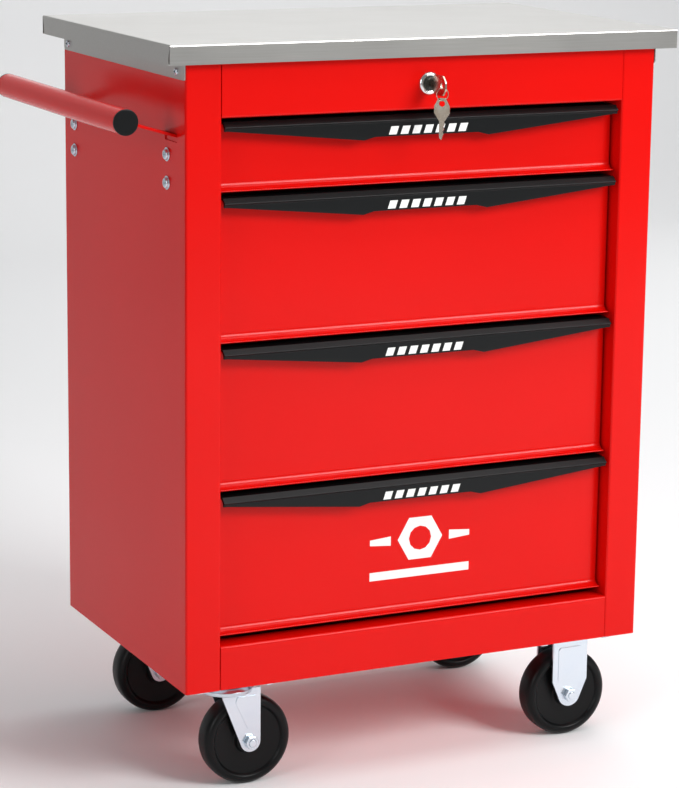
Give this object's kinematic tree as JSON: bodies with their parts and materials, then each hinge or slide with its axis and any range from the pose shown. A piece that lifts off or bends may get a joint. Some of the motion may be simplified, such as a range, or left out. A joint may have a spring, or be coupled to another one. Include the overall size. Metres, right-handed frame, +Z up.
{
  "type": "rolling tool box",
  "caption": "Rolling sheet-steel tool cabinet with sliding drawers, full-width black pulls, a stainless worktop, a side push handle, a key lock and plate casters.",
  "frame": {"origin": "on the floor, under the middle of the whole outline", "axes": "+X to the right seen from the front, +Y from the drawers to the back, +Z up"},
  "size_m": [0.6197, 0.386, 0.7705],
  "materials": {
    "red_enamel": "gloss red baked enamel on pressed sheet steel",
    "stainless": "finely brushed stainless sheet",
    "particle_board": "bare particle board, hidden under the stainless top",
    "zinc_plate": "bright blue-white zinc plate on pressed steel",
    "black_moulding": "satin black moulded plastic",
    "black_rubber": "hard black rubber, satin from the mould",
    "lock_chrome": "polished chrome plate",
    "dark_plug": "dark blackened die-cast face",
    "nickel": "warm nickel plate, lightly worn"
  },
  "bodies": {
    "root": {"left_side_panel": "red_enamel", "right_side_panel": "red_enamel", "back_panel": "red_enamel", "bottom_panel": "red_enamel", "top_rail": "red_enamel", "bottom_rail": "red_enamel", "rear_posts": "red_enamel", "worktop": "stainless", "worktop_core": "particle_board", "worktop_screws": "zinc_plate", "handle_bar": "red_enamel", "handle_caps": "black_moulding", "front_handle_bracket": "red_enamel", "rear_handle_bracket": "red_enamel", "handle_fasteners": "zinc_plate", "front_swivel_plate": "zinc_plate", "rear_swivel_plate": "zinc_plate", "swivel_kingpins": "zinc_plate", "front_rigid_fork": "zinc_plate", "rear_rigid_fork": "zinc_plate", "rigid_axles": "zinc_plate", "caster_bolts": "zinc_plate", "lock_housing": "lock_chrome", "lock_nut": "zinc_plate", "lock_bar_guides": "zinc_plate", "slide_rails_1": "zinc_plate", "slide_rails_2": "zinc_plate", "slide_rails_3": "zinc_plate", "slide_rails_4": "zinc_plate"},
    "drawer_1": {"drawer_front_1": "red_enamel", "drawer_trim_1": "black_moulding", "drawer_tray_1": "red_enamel", "slide_runners_1": "zinc_plate"},
    "drawer_2": {"drawer_front_2": "red_enamel", "drawer_trim_2": "black_moulding", "drawer_tray_2": "red_enamel", "slide_runners_2": "zinc_plate"},
    "drawer_3": {"drawer_front_3": "red_enamel", "drawer_trim_3": "black_moulding", "drawer_tray_3": "red_enamel", "slide_runners_3": "zinc_plate"},
    "drawer_4": {"drawer_front_4": "red_enamel", "drawer_trim_4": "black_moulding", "drawer_tray_4": "red_enamel", "slide_runners_4": "zinc_plate"},
    "front_caster": {"front_swivel_fork": "zinc_plate", "front_swivel_axle": "zinc_plate"},
    "rear_caster": {"rear_swivel_fork": "zinc_plate", "rear_swivel_axle": "zinc_plate"},
    "front_left_wheel": {"front_left_wheel": "black_rubber"},
    "front_right_wheel": {"front_right_wheel": "black_rubber"},
    "rear_left_wheel": {"rear_left_wheel": "black_rubber"},
    "rear_right_wheel": {"rear_right_wheel": "black_rubber"},
    "lock_plug": {"lock_plug": "dark_plug", "lock_shaft": "zinc_plate"},
    "lock_bar": {"lock_bar": "zinc_plate"},
    "key": {"key": "nickel"},
    "key_ring": {"key_ring": "nickel"}
  },
  "joints": [
    {"name": "drawer_1_slide", "type": "slide", "parent": "root", "child": "drawer_1", "axis": [0, -1, 0], "range_m": [0, 0.225]},
    {"name": "drawer_2_slide", "type": "slide", "parent": "root", "child": "drawer_2", "axis": [0, -1, 0], "range_m": [0, 0.225]},
    {"name": "drawer_3_slide", "type": "slide", "parent": "root", "child": "drawer_3", "axis": [0, -1, 0], "range_m": [0, 0.225]},
    {"name": "drawer_4_slide", "type": "slide", "parent": "root", "child": "drawer_4", "axis": [0, -1, 0], "range_m": [0, 0.225]},
    {"name": "front_caster_swivel", "type": "hinge", "parent": "root", "child": "front_caster", "pos_m": [-0.17265, -0.111, 0.106], "axis": [0, 0, 1], "continuous": true},
    {"name": "rear_caster_swivel", "type": "hinge", "parent": "root", "child": "rear_caster", "pos_m": [-0.17265, 0.137, 0.106], "axis": [0, 0, 1], "continuous": true},
    {"name": "front_left_wheel_spin", "type": "hinge", "parent": "front_caster", "child": "front_left_wheel", "pos_m": [-0.15165, -0.111, 0.048], "axis": [0, 1, 0], "continuous": true},
    {"name": "front_right_wheel_spin", "type": "hinge", "parent": "root", "child": "front_right_wheel", "pos_m": [0.22735, -0.111, 0.048], "axis": [0, 1, 0], "continuous": true},
    {"name": "rear_left_wheel_spin", "type": "hinge", "parent": "rear_caster", "child": "rear_left_wheel", "pos_m": [-0.15165, 0.137, 0.048], "axis": [0, 1, 0], "continuous": true},
    {"name": "rear_right_wheel_spin", "type": "hinge", "parent": "root", "child": "rear_right_wheel", "pos_m": [0.22735, 0.137, 0.048], "axis": [0, 1, 0], "continuous": true},
    {"name": "lock_turn", "type": "hinge", "parent": "root", "child": "lock_plug", "pos_m": [0.02735, -0.157, 0.7237], "axis": [0, 1, 0], "range_deg": [0, 90]},
    {"name": "lock_bar_lift", "type": "slide", "parent": "root", "child": "lock_bar", "axis": [0, 0, 1], "range_m": [0, 0.0106]},
    {"name": "key_pull", "type": "slide", "parent": "lock_plug", "child": "key", "axis": [0, -1, 0], "range_m": [0, 0.024]},
    {"name": "key_ring_swing", "type": "hinge", "parent": "key", "child": "key_ring", "pos_m": [0.02735, -0.1855, 0.7237], "axis": [1, 0, 0], "range_deg": [-60, 15]}
  ],
  "couplings": [
    {"joint": "lock_turn", "follows": "lock_bar_lift", "rad_per_m": 148.1}
  ]
}
